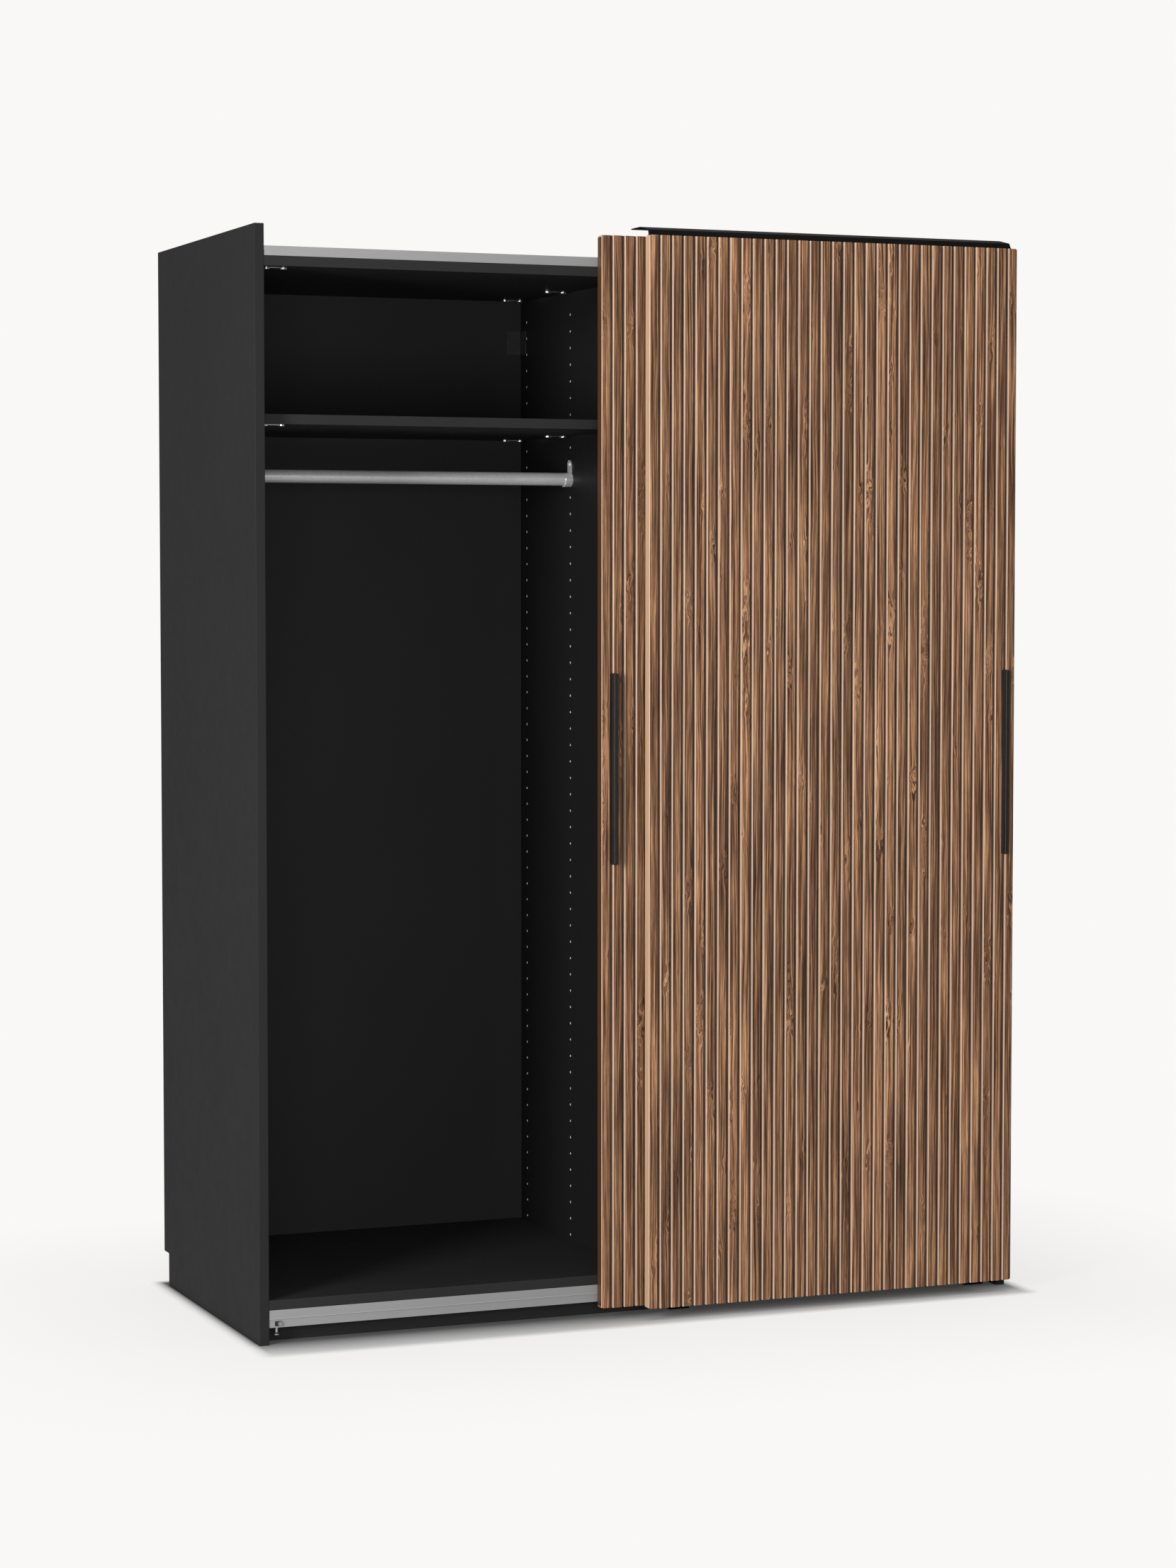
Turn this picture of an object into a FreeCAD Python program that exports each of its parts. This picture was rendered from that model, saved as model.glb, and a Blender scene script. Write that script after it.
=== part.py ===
"""Wardrobe with two sliding doors, two compartments, a shelf and a clothes rail in each.

Millimetres, +Z up, +X to the right as seen from the front, doors towards -Y.
The origin is the centre of the whole object's footprint, on the floor.
Depths are stated from the front edges of the side panels, rearwards positive.
"""
import FreeCAD, Part
import os
import re

import Sketcher
from FreeCAD import Placement, Rotation, Vector

SIZES = {
    # carcass
    "overall_width": 1512,
    "side_height": 2000,
    "side_depth": 632,
    "board": 18,
    "edge_round": 1,
    "partition_thickness": 25,
    "top_panel_height": 1926,
    "bottom_panel_height": 63,
    "shelf_height": 1649,
    "shelf_inset": 40,
    "plinth_inset": 40,
    "rear_plinth_inset": 520,
    "notch_height": 64,
    "notch_depth": 32,
    "back_thickness": 8,
    "back_inset": 621,
    "back_play": 0.5,
    "shelf_play": 0.5,
    "groove_depth": 6,
    "groove_play": 0.1,
    # drilling pattern
    "row_front": 37,
    "row_middle": 356,
    "row_rear": 588,
    "shelf_row_front": 56,
    "hole_radius": 2.5,
    "hole_depth": 12,
    "hole_pitch": 32,
    "hole_rows": 57,
    "first_hole": 91,
    "dowel_radius": 4,
    "dowel_length": 30,
    "dowel_in_side": 12,
    "dowel_play": 1,
    # doors
    "door_width": 760,
    "door_bottom": 22,
    "door_top": 2000,
    "door_thickness": 19,
    "door_gap": 4,
    "door_spacing": 19,
    "door_travel": 633,
    "door_overlap": 48,
    "door_corner": 4,
    "rib_land": 17.6,
    "rib_groove": 5.6,
    "rib_depth": 5,
    "rib_round": 1.5,
    "rib_count": 33,
    # handles
    "handle_offset": 18.6,
    "handle_width": 8,
    "handle_reach": 17,
    "handle_bottom": 848,
    "handle_length": 352,
    "handle_round": 3,
    "handle_arris": 1,
    "handle_bore": 8,
    "tongue_width": 4.4,
    "tongue_depth": 4.5,
    "handle_screw_radius": 1.9,
    "handle_screw_room": 2.2,
    "handle_screw_bite": 7,
    "handle_screw_sink": 0.4,
    "handle_sink_play": 0.2,
    "handle_sink_depth": 2.6,
    # sliding gear
    "top_rail_depth": 86,
    "top_rail_height": 17,
    "rail_wall": 2,
    "rail_play": 0.5,
    "rail_screw_pitch": 240,
    "rail_screw_radius": 2.1,
    "rail_screw_room": 2.2,
    "track_front": 22,
    "track_rear": 62,
    "track_height": 10,
    "track_half": 1.5,
    "track_crown": 0.6,
    "stop_length": 16,
    "stop_depth": 12.5,
    "stop_height": 14,
    "stop_play": 0.5,
    "stop_overlap": 3,
    "wheel_tread": 12.5,
    "wheel_flange": 15.5,
    "wheel_half": 4,
    "tread_half": 2.2,
    "wheel_gap": 0.3,
    "wheel_rim": 0.6,
    "wheel_slope": 0.7,
    "wheel_bore": 3.05,
    "axle_radius": 3,
    "axle_shoulder": 4.5,
    "axle_head": 1.7,
    "wheel_offset": 28,
    "carriage_offset": 290,
    "hanger_width": 90,
    "hanger_sheet": 3,
    "plate_to_wheel": 13,
    "plate_bottom": 1950,
    "hanger_drop": 4,
    "hanger_leg": 32,
    "hanger_screw_pitch": 30,
    "hanger_screw_radius": 2,
    "hanger_flange_start": 49,
    "cover_sheet": 2,
    "cover_leg": 40,
    "cover_rise": 20,
    "cover_reach": 87,
    "cover_start": 8,
    "cover_end": 3,
    "cover_screw_pitch": 110,
    "cover_screw_radius": 1.9,
    # guide rail under the bottom panel
    "guide_rail_depth": 34,
    "guide_rail_height": 32,
    "guide_band": 16.5,
    "guide_groove": 13,
    "guide_wall": 2,
    "guide_screw_pitch": 340,
    "guide_stop_place": 714.5,
    "guide_stop_length": 12.5,
    "guide_stop_height": 8.5,
    "guide_stop_rise": 3,
    "guide_stop_sheet": 2,
    "guide_stop_screw_place": 718,
    "guide_stop_screw_radius": 2,
    "guide_stop_hole_radius": 2.1,
    "guide_pin_place": 721.5,
    "guide_pin_start": 12,
    "guide_pin_length": 22,
    "guide_pin_radius": 3,
    "guide_pin_head": 5.5,
    "guide_sheet": 2.5,
    "guide_arm_sheet": 3,
    "guide_arm_reach": 6,
    "guide_leg_top": 60,
    "guide_leg_screw": 48,
    "guide_leg_pitch": 12,
    "guide_screw_radius": 1.7,
    "guide_screw_head": 0.8,
    "guide_width": 40,
    "guide_offset": 310,
    "rear_guide_height": 24,
    "front_guide_height": 14,
    "slider_radius": 6.2,
    "slider_stem": 3.5,
    "slider_height": 13,
    "slider_clear": 2,
    # fittings
    "tube_radius": 12.5,
    "tube_wall": 1.2,
    "tube_height": 1566,
    "bracket_hole": 47,
    "bracket_sheet": 2.5,
    "bracket_ear": 8,
    "bracket_saddle": 14,
    "bracket_ring": 2.5,
    "bracket_lip": 3,
    "bracket_play": 0.1,
    "bracket_screw_bite": 11,
    "bracket_screw_radius": 1.95,
    "bracket_hole_radius": 2,
    "connector_length": 47,
    "connector_inset": 31,
    "connector_bar": 13,
    "connector_sheet": 1.6,
    "connector_boss": 7.5,
    "connector_boss_height": 3.3,
    "connector_slot": 1.6,
    "connector_play": 0.1,
    "connector_cam": 7.5,
    "connector_cam_depth": 11,
    "angle_wide": 32,
    "angle_deep": 30,
    "angle_tall": 46,
    "angle_sheet": 2,
    "angle_height": 1821,
    "angle_screw_radius": 1.9,
    "angle_hole_radius": 2,
    "angle_screw_share": 0.6,
    "foot_radius": 20,
    "foot_pad": 8,
    "foot_stem": 45,
    "foot_gap": 8,
    "foot_flange": 4,
}
TOUCH = 0.01

# Depth of the side panels' front edges, which centres the whole object on the origin.
DOOR_REACH = "(door_gap + 2 * door_thickness + door_spacing + handle_reach)"
FRONT = "((" + DOOR_REACH + " - side_depth) / 2)"
HALF_INSIDE = "(overall_width / 2 - board)"
HALF_PARTITION = "(partition_thickness / 2)"
RAIL_FLOOR = "(top_panel_height + board)"
RAIL_MIDDLE = "(track_front + track_rear) / 2"
BRACKET_SCREW_HEIGHT = "(first_hole + bracket_hole * hole_pitch)"
HANGER_TOP = "(door_top - hanger_drop)"
COVER_TOP = "(door_top + cover_rise)"
WHEEL_HEIGHT = "(" + RAIL_FLOOR + " + track_height + wheel_tread + wheel_gap)"
GUIDE_TOP = "bottom_panel_height"
GUIDE_BOTTOM = "(bottom_panel_height - guide_rail_height)"
GUIDE_TRACK_FRONT = "(2 * guide_wall + guide_groove / 2)"
GUIDE_TRACK_REAR = "(3 * guide_wall + 1.5 * guide_groove)"
# Left edges of the doors at rest: the rear door stands open, the front one is closed.
REAR_DOOR_LEFT = "(door_overlap / 2 - door_width + door_travel)"
FRONT_DOOR_LEFT = "(-door_overlap / 2)"
REAR_DOOR_CENTRE = "(door_overlap / 2 - door_width / 2 + door_travel)"
FRONT_DOOR_CENTRE = "(door_width / 2 - door_overlap / 2)"
# Rear faces of the doors.
REAR_DOOR_BACK = "(-door_gap)"
FRONT_DOOR_BACK = "(-door_gap - door_thickness - door_spacing)"
ROWS = ("row_front", "row_middle", "row_rear")
DOWEL_ROWS = ("row_front + hole_pitch", "row_middle - hole_pitch", "row_rear - hole_pitch")
SHELF_ROWS = ("shelf_row_front", "row_middle", "row_rear")
DOOR_NAMES = ("rear_door", "front_door")

doc = FreeCAD.newDocument("wardrobe")
sheet = doc.addObject("Spreadsheet::Sheet", "Sizes")
subparts = []


def fill_sheet():
    """Writes every driving dimension to the sheet, one alias to a row."""
    for row, (alias, value) in enumerate(SIZES.items(), start=1):
        sheet.set("A%d" % row, alias)
        sheet.set("B%d" % row, str(value))
        sheet.setAlias("B%d" % row, alias)
    doc.recompute()


def formula(text):
    """Turns plain names into references to the sheet."""
    return re.sub(r"[a-z][a-z_]+", lambda found: "Sizes." + found.group(), str(text))


def num(text):
    """The present value of a formula, in millimetres."""
    return float(sheet.evalExpression(formula(text)))


def place(obj, x="0", y="0", z="0"):
    """Binds an object's position; y is the depth behind the side panels' front edges."""
    obj.setExpression("Placement.Base.x", formula(x))
    obj.setExpression("Placement.Base.y", formula("%s + %s" % (FRONT, y)))
    obj.setExpression("Placement.Base.z", formula(z))


def keep(obj, label):
    """Registers a finished sub-part under its label."""
    obj.Label = label
    subparts.append(obj)
    return obj


# ---------------------------------------------------------------- sketches and features

def new_body(label):
    return keep(doc.addObject("PartDesign::Body", label), label)


def new_sketch(body, plane, height="0"):
    """A sketch on one of the body's own planes, raised along that plane's normal."""
    sketch = body.newObject("Sketcher::SketchObject", body.Label + "_sketch")
    support = [item for item in body.Origin.OriginFeatures if item.Role == plane + "_Plane"]
    sketch.AttachmentSupport = (support[0], [""])
    sketch.MapMode = "FlatFace"
    sketch.setExpression("AttachmentOffset.Base.z", formula(height))
    return sketch


def pin_point(sketch, edge, end, u, v):
    """Holds one point of a sketch at two formulas."""
    for kind, text in (("DistanceX", u), ("DistanceY", v)):
        rule = Sketcher.Constraint(kind, -1, 1, edge, end, num(text))
        index = sketch.addConstraint(rule)
        sketch.setExpression("Constraints[%d]" % index, formula(text))


def outline(sketch, points):
    """A closed outline of straight lines through points given as formulas."""
    first = sketch.GeometryCount
    corners = [Vector(num(u), num(v), 0) for u, v in points]
    count = len(points)
    for index in range(count):
        sketch.addGeometry(Part.LineSegment(corners[index], corners[(index + 1) % count]))
    for index in range(count):
        meet = (first + index, 2, first + (index + 1) % count, 1)
        sketch.addConstraint(Sketcher.Constraint("Coincident", *meet))
    for index, (u, v) in enumerate(points):
        pin_point(sketch, first + index, 1, u, v)


def rectangle(sketch, left, low, width, height):
    right = "%s + %s" % (left, width)
    high = "%s + %s" % (low, height)
    outline(sketch, [(left, low), (right, low), (right, high), (left, high)])


def circle(sketch, u, v, radius):
    """A circle whose centre and radius follow formulas."""
    edge = sketch.addGeometry(Part.Circle(Vector(num(u), num(v), 0), Vector(0, 0, 1), num(radius)))
    pin_point(sketch, edge, 3, u, v)
    index = sketch.addConstraint(Sketcher.Constraint("Radius", edge, num(radius)))
    sketch.setExpression("Constraints[%d]" % index, formula(radius))


def pad(body, sketch, length):
    feature = body.newObject("PartDesign::Pad", body.Label + "_pad")
    feature.Profile = sketch
    feature.setExpression("Length", formula(length))
    doc.recompute()
    return feature


def pocket(body, sketch, length, forward=False):
    """Cuts against the sketch's normal, or along it when forward, and proves that it cuts."""
    before = body.Shape.Volume
    feature = body.newObject("PartDesign::Pocket", body.Label + "_pocket")
    feature.Profile = sketch
    feature.setExpression("Length", formula(length))
    feature.Reversed = forward
    doc.recompute()
    if body.Shape.Volume > before - 1:
        raise RuntimeError("a pocket of %s cuts nothing" % body.Label)
    return feature


def pattern(body, feature, axis, length, count):
    """Repeats a feature along one of the body's own axes."""
    line = [item for item in body.Origin.OriginFeatures if item.Role == axis + "_Axis"]
    repeat = body.newObject("PartDesign::LinearPattern", body.Label + "_pattern")
    repeat.Originals = [feature]
    repeat.Direction = (line[0], [""])
    repeat.setExpression("Length", formula(length))
    repeat.setExpression("Occurrences", formula(count))
    body.Tip = repeat
    doc.recompute()
    return repeat


def same(first, last, *axes):
    """Whether two points agree along the axes named."""
    return all(abs(getattr(first, axis) - getattr(last, axis)) < TOUCH for axis in axes)


def round_edges(body, feature, test, radius):
    """Rounds every edge of a feature whose two ends pass a test."""
    names = []
    for index, edge in enumerate(feature.Shape.Edges, start=1):
        ends = [vertex.Point for vertex in edge.Vertexes]
        if len(ends) == 2 and test(*ends):
            names.append("Edge%d" % index)
    fillet = body.newObject("PartDesign::Fillet", body.Label + "_round")
    fillet.Base = (feature, names)
    fillet.setExpression("Radius", formula(radius))
    doc.recompute()
    return fillet


def along_front(axis):
    """A test for the front arrises that run along one axis."""
    across = "z" if axis == "x" else "x"
    return lambda first, last: same(first, last, "y", across) and abs(first.y) < TOUCH


def block(label, x, y, z, width, depth, height, arris=None):
    """A rectangular board, its front arrises along one axis rounded if that is named."""
    body = new_body(label)
    sketch = new_sketch(body, "XY")
    rectangle(sketch, "0", "0", width, depth)
    slab = pad(body, sketch, height)
    if arris:
        round_edges(body, slab, along_front(arris), "edge_round")
    place(body, x, y, z)
    return body


def extrusion(label, points, length, x, y="0", z="0"):
    """A bar along X whose section is an outline in Y and Z."""
    body = new_body(label)
    sketch = new_sketch(body, "YZ")
    outline(sketch, points)
    pad(body, sketch, length)
    place(body, x, y, z)
    return body


def drill(body, plane, centres, radius, depth, height="0", forward=False):
    """Round holes, all of one size."""
    sketch = new_sketch(body, plane, height)
    for u, v in centres:
        circle(sketch, u, v, radius)
    return pocket(body, sketch, depth, forward)


# ---------------------------------------------------------------- groups of equal solids

def spot(x, y, z):
    """A point of the object, its depth measured from the side panels' front edges."""
    return Vector(num(x), num("%s + %s" % (FRONT, y)), num(z))


def box(low, high):
    """A cuboid between two corners, in any order."""
    sides = [abs(high[axis] - low[axis]) for axis in range(3)]
    corner = Vector(*[min(high[axis], low[axis]) for axis in range(3)])
    return Part.makeBox(*sides, corner)


def group(label, solids):
    """Separate equal solids in one sub-part."""
    feature = doc.addObject("Part::Feature", label)
    feature.Shape = Part.makeCompound(solids)
    feature.Placement = Placement()
    return keep(feature, label)


def countersunk_screw(tip, direction, length, radius):
    """A countersunk screw with a cross recess; direction points from its tip to its head."""
    head = 2 * radius
    cone = head - radius
    shank = Part.makeCylinder(radius, length - cone)
    top = Part.makeCone(radius, head, cone, Vector(0, 0, length - cone))
    screw = shank.fuse(top)
    slot = 0.3 * radius
    for long_side, short_side in ((1.1 * radius, slot), (slot, 1.1 * radius)):
        low = Vector(-long_side, -short_side, length - 0.6 * radius)
        screw = screw.cut(box(low, Vector(long_side, short_side, length + 1)))
    screw.Placement = Placement(tip, Rotation(Vector(0, 0, 1), direction))
    return screw


def screw_head(start, direction, radius):
    """A round screw head with a recess; radius is that of the screw's shank."""
    head = Part.makeCylinder(2 * radius, radius, start, direction)
    recess = Part.makeCylinder(0.7 * radius, radius, start + direction * 0.5 * radius, direction)
    return head.cut(recess)


def pan_head_screw(tip, direction, length, radius):
    """A screw with a round head; length is that of the shank below the head."""
    shank = Part.makeCylinder(radius, length, tip, direction)
    return shank.fuse(screw_head(tip + direction * length, direction, radius))


# ---------------------------------------------------------------- carcass

def drill_rows(body, height, forward, depth):
    """Three rows of shelf holes, repeated up the panel."""
    centres = [(row, "first_hole") for row in ROWS]
    holes = drill(body, "YZ", centres, "hole_radius", depth, height, forward)
    pattern(body, holes, "Z", "hole_pitch * (hole_rows - 1)", "hole_rows")


def dowel_centres():
    heights = ("bottom_panel_height + board / 2", "top_panel_height + board / 2")
    return [(row, height) for row in DOWEL_ROWS for height in heights]


def make_side_panel(side):
    """Side panel with skirting notch, groove for the back panel and drilled inner face."""
    left = side == "left"
    points = [("0", "0"), ("side_depth - notch_depth", "0"), ("side_depth - notch_depth", "notch_height"),
              ("side_depth", "notch_height"), ("side_depth", "side_height"), ("0", "side_height")]
    x = "-overall_width / 2" if left else HALF_INSIDE
    body = extrusion(side + "_side_panel", points, "board", x)
    top = num("side_height")

    def on_rim(first, last):
        front = same(first, last, "x", "y") and abs(first.y) < TOUCH
        return front or max(abs(first.z - top), abs(last.z - top)) < TOUCH

    round_edges(body, body.Tip, on_rim, "edge_round")
    inner_face = "board" if left else "0"
    groove = new_sketch(body, "YZ", inner_face)
    width = "back_thickness + 2 * groove_play"
    rectangle(groove, "back_inset - groove_play", "bottom_panel_height", width, RAIL_FLOOR)
    pocket(body, groove, "groove_depth", not left)
    drill(body, "YZ", dowel_centres(), "dowel_radius", "dowel_in_side", inner_face, not left)
    drill_rows(body, inner_face, not left, "hole_depth")


def cam_centres(span_start, span_end, rows=ROWS):
    """Centres of the cam recesses at both ends of a board, three to an end."""
    ends = (span_start + " + connector_inset", span_end + " - connector_inset")
    return [(end, row) for end in ends for row in rows]


def make_top_and_bottom_panel():
    for name, height in (("top_panel", "top_panel_height"), ("bottom_panel", "bottom_panel_height")):
        width = "2 * %s" % HALF_INSIDE
        body = block(name, "-" + HALF_INSIDE, "0", height, width, "back_inset", "board", "x")
        ends = [(row, "board / 2") for row in DOWEL_ROWS]
        dowel_room = "dowel_length - dowel_in_side"
        drill(body, "YZ", ends, "dowel_radius", dowel_room, "0", True)
        drill(body, "YZ", ends, "dowel_radius", dowel_room, width)
        if name == "top_panel":
            middle = HALF_INSIDE
            cams = cam_centres("0", "%s - %s" % (middle, HALF_PARTITION))
            cams += cam_centres("%s + %s" % (middle, HALF_PARTITION), width)
            drill(body, "XY", cams, "connector_cam + connector_play", "connector_cam_depth", "0", True)


def make_centre_partition():
    height = "top_panel_height - bottom_panel_height - board"
    base = "bottom_panel_height + board"
    body = block("centre_partition", "-" + HALF_PARTITION, "0", base, "partition_thickness",
                 "back_inset", height, "z")
    centres = [(row, "first_hole - (%s)" % base) for row in ROWS]
    holes = drill(body, "YZ", centres, "hole_radius", "partition_thickness", "partition_thickness")
    pattern(body, holes, "Z", "hole_pitch * (hole_rows - 1)", "hole_rows")


def make_back_panels():
    width = "%s + groove_depth - 2 * back_play" % HALF_INSIDE
    height = "top_panel_height + board - bottom_panel_height"
    left = "-%s - groove_depth + back_play" % HALF_INSIDE
    for side, x in (("left", left), ("right", "back_play")):
        name = side + "_back_panel"
        block(name, x, "back_inset", "bottom_panel_height", width, "back_thickness", height)


def make_plinths():
    width = "2 * %s" % HALF_INSIDE
    for name, depth in (("front_plinth", "plinth_inset"), ("rear_plinth", "rear_plinth_inset")):
        block(name, "-" + HALF_INSIDE, depth, "0", width, "board", "bottom_panel_height")


def make_centre_foot():
    """Levelling foot under the middle of the bottom panel: a sleeve and a screwed pad."""
    sleeve = new_body("centre_foot_sleeve")
    sketch = new_sketch(sleeve, "XY")
    circle(sketch, "0", "0", "foot_radius * 0.75")
    circle(sketch, "0", "0", "foot_radius * 0.4")
    low = "(foot_pad + foot_gap)"
    pad(sleeve, sketch, "bottom_panel_height - " + low)
    flange = new_sketch(sleeve, "XY", "bottom_panel_height - foot_flange - " + low)
    circle(flange, "0", "0", "foot_radius * 1.3")
    circle(flange, "0", "0", "foot_radius * 0.4")
    pad(sleeve, flange, "foot_flange")
    place(sleeve, "0", "row_middle", low)
    pad_body = new_body("centre_foot_pad")
    disc = new_sketch(pad_body, "XY")
    circle(disc, "0", "0", "foot_radius")
    pad(pad_body, disc, "foot_pad")
    stem = new_sketch(pad_body, "XY")
    circle(stem, "0", "0", "foot_radius * 0.4 - 0.05")
    pad(pad_body, stem, "foot_stem")
    place(pad_body, "0", "row_middle", "0")


def compartments():
    """Name, left face and right face of each compartment."""
    return (("left", "-" + HALF_INSIDE, "-" + HALF_PARTITION), ("right", HALF_PARTITION, HALF_INSIDE))


def connector(x, y, z):
    """Connector on a board's underside: a bar between two slotted bosses, a cam housing above."""
    half_bar = num("connector_bar") / 2
    thin = num("connector_sheet")
    boss = num("connector_boss")
    boss_height = num("connector_boss_height")
    half_slot = num("connector_slot") / 2
    arm = num("connector_length") / 2 - boss
    shape = box(Vector(-arm, -half_bar, -thin), Vector(arm, half_bar, 0))
    shape = shape.fuse(Part.makeCylinder(num("connector_cam"), num("connector_cam_depth") - 0.5))
    for end in (-arm, arm):
        crown = Part.makeCylinder(boss, boss_height, Vector(end, 0, -boss_height))
        lower = [edge for edge in crown.Edges if abs(edge.CenterOfMass.z + boss_height) < TOUCH]
        reach = 0.7 * boss
        low = Vector(end - reach, -half_slot, -boss_height)
        slot = box(low, low + Vector(2 * reach, 2 * half_slot, half_slot))
        shape = shape.fuse(crown.makeFillet(0.8, lower)).cut(slot)
    shape.Placement = Placement(spot(x, y, z), Rotation())
    return shape


def make_connectors():
    top = []
    for name, start, end in compartments():
        top += [connector(x, y, "top_panel_height") for x, y in cam_centres(start, end)]
        shelf = [connector(x, y, "shelf_height") for x, y in cam_centres(start, end, SHELF_ROWS)]
        group(name + "_shelf_connectors", shelf)
    group("top_panel_connectors", top)


def make_shelves():
    for name, start, _ in compartments():
        width = "%s - %s - 2 * shelf_play" % (HALF_INSIDE, HALF_PARTITION)
        depth = "back_inset - shelf_inset - 2 * shelf_play"
        body = block(name + "_shelf", start + " + shelf_play", "shelf_inset", "shelf_height",
                     width, depth, "board", "x")
        rows = ["%s - shelf_inset" % row for row in SHELF_ROWS]
        centres = cam_centres("-shelf_play", width + " + shelf_play", rows)
        drill(body, "XY", centres, "connector_cam + connector_play", "connector_cam_depth", "0", True)


def make_clothes_rails():
    for name, start, end in compartments():
        body = new_body(name + "_clothes_rail")
        sketch = new_sketch(body, "YZ")
        circle(sketch, "0", "0", "tube_radius")
        circle(sketch, "0", "0", "tube_radius - tube_wall")
        play = "(bracket_sheet + rail_play)"
        pad(body, sketch, "%s - %s - 2 * %s" % (HALF_INSIDE, HALF_PARTITION, play))
        place(body, "%s + %s" % (start, play), "row_middle", "tube_height")


def rail_bracket(x, turn):
    """Saddle bracket: a plate on the panel, a half ring that carries the tube, an ear for the screw."""
    sheet_thickness = num("bracket_sheet")
    inner = num("tube_radius + bracket_play")
    outer = inner + num("bracket_ring")
    saddle_length = num("bracket_saddle")
    along = Vector(1, 0, 0)
    ear_height = num(BRACKET_SCREW_HEIGHT + " - tube_height")
    half_neck = num("bracket_ear")
    plate = Part.makeCylinder(outer, sheet_thickness, Vector(0, 0, 0), along)
    neck = box(Vector(0, -half_neck, 0), Vector(sheet_thickness, half_neck, ear_height))
    ear = Part.makeCylinder(half_neck, sheet_thickness, Vector(0, 0, ear_height), along)
    plate = plate.fuse(neck).fuse(ear)
    hole_radius = num("bracket_hole_radius")
    screw_hole = Part.makeCylinder(hole_radius, sheet_thickness, Vector(0, 0, ear_height), along)
    ring = Part.makeCylinder(outer, saddle_length, Vector(0, 0, 0), along)
    bore = Part.makeCylinder(inner, saddle_length, Vector(sheet_thickness, 0, 0), along)
    mouth_corner = Vector(sheet_thickness, -outer, num("bracket_lip"))
    mouth = Part.makeBox(saddle_length, 2 * outer, outer, mouth_corner)
    saddle = ring.cut(bore).cut(mouth)
    shape = plate.fuse(saddle).cut(screw_hole).removeSplitter()
    shape.Placement = Placement(spot(x, "row_middle", "tube_height"), Rotation(Vector(0, 0, 1), turn))
    return shape


def make_rail_brackets():
    brackets = []
    screws = []
    length = num("bracket_screw_bite + bracket_sheet")
    radius = num("bracket_screw_radius")
    for _, start, end in compartments():
        for face, turn, direction in ((start, 0, 1), (end, 180, -1)):
            brackets.append(rail_bracket(face, turn))
            tip = spot("%s - %d * bracket_screw_bite" % (face, direction), "row_middle", BRACKET_SCREW_HEIGHT)
            screws.append(pan_head_screw(tip, Vector(direction, 0, 0), length, radius))
    # The two screws in the partition share one hole from opposite sides, end to end.
    group("clothes_rail_brackets", brackets)
    group("clothes_rail_screws", screws)


def make_dowels():
    length = num("dowel_length - dowel_play")
    dowels = []
    for way, face in ((1, "-" + HALF_INSIDE), (-1, HALF_INSIDE)):
        outer_end = "%s - %d * (dowel_in_side - dowel_play / 2)" % (face, way)
        for row, height in dowel_centres():
            start = spot(outer_end, row, height)
            dowels.append(Part.makeCylinder(num("dowel_radius"), length, start, Vector(way, 0, 0)))
    group("panel_dowels", dowels)


def make_corner_brackets():
    """Sheet angles that tie the back panels to the upright boards, and their screws."""
    wide = num("angle_wide")
    deep = num("angle_deep")
    tall = num("angle_tall")
    thin = num("angle_sheet")
    share = num("angle_screw_share")
    radius = num("angle_screw_radius")
    hole_radius = num("angle_hole_radius")
    brackets = []
    screws = []
    height = num("angle_height + angle_tall / 2")
    for _, start, end in compartments():
        for face, way in ((start, 1), (end, -1)):
            corner = spot(face, "back_inset", "angle_height")
            on_back = box(corner, corner + Vector(way * wide, -thin, tall))
            on_side = box(corner, corner + Vector(way * thin, -deep, tall))
            shape = on_back.fuse(on_side).removeSplitter()
            back_screw = Vector(corner.x + way * wide * share, corner.y, height)
            side_screw = Vector(corner.x, corner.y - deep * share, height)
            for tip, direction in ((back_screw, Vector(0, -1, 0)), (side_screw, Vector(way, 0, 0))):
                shape = shape.cut(Part.makeCylinder(hole_radius, thin, tip, direction))
                screws.append(pan_head_screw(tip, direction, thin, radius))
            brackets.append(shape)
    group("back_corner_brackets", brackets)
    group("corner_bracket_screws", screws)


# ---------------------------------------------------------------- rails

def make_top_running_rail():
    """Aluminium section with a lip at each edge and two upstanding tracks."""
    wall = "rail_wall"
    high = "top_rail_height"
    deep = "top_rail_depth"
    lip = "top_rail_depth - rail_wall"
    points = [("0", "0"), (deep, "0"), (deep, high), (lip, high), (lip, wall)]
    for track in ("track_rear", "track_front"):
        near = track + " - track_half"
        far = track + " + track_half"
        shoulder = "track_height - track_crown"
        points += [(far, wall), (far, shoulder), (far + " - track_crown", "track_height"),
                   (near + " + track_crown", "track_height"), (near, shoulder), (near, wall)]
    points += [("rail_wall", wall), ("rail_wall", high), ("0", high)]
    length = "2 * (%s - rail_play)" % HALF_INSIDE
    body = extrusion("top_running_rail", points, length, "-%s + rail_play" % HALF_INSIDE, "0", RAIL_FLOOR)
    steps = range(-3, 4)
    rail_centre = HALF_INSIDE + " - rail_play"
    centres = [("%s + %d * rail_screw_pitch" % (rail_centre, step), RAIL_MIDDLE) for step in steps]
    drill(body, "XY", centres, "rail_screw_room", wall, wall)
    screws = []
    for step in steps:
        tip = spot("%d * rail_screw_pitch" % step, RAIL_MIDDLE, RAIL_FLOOR)
        screws.append(pan_head_screw(tip, Vector(0, 0, 1), num(wall), num("rail_screw_radius")))
    group("top_rail_screws", screws)


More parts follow.
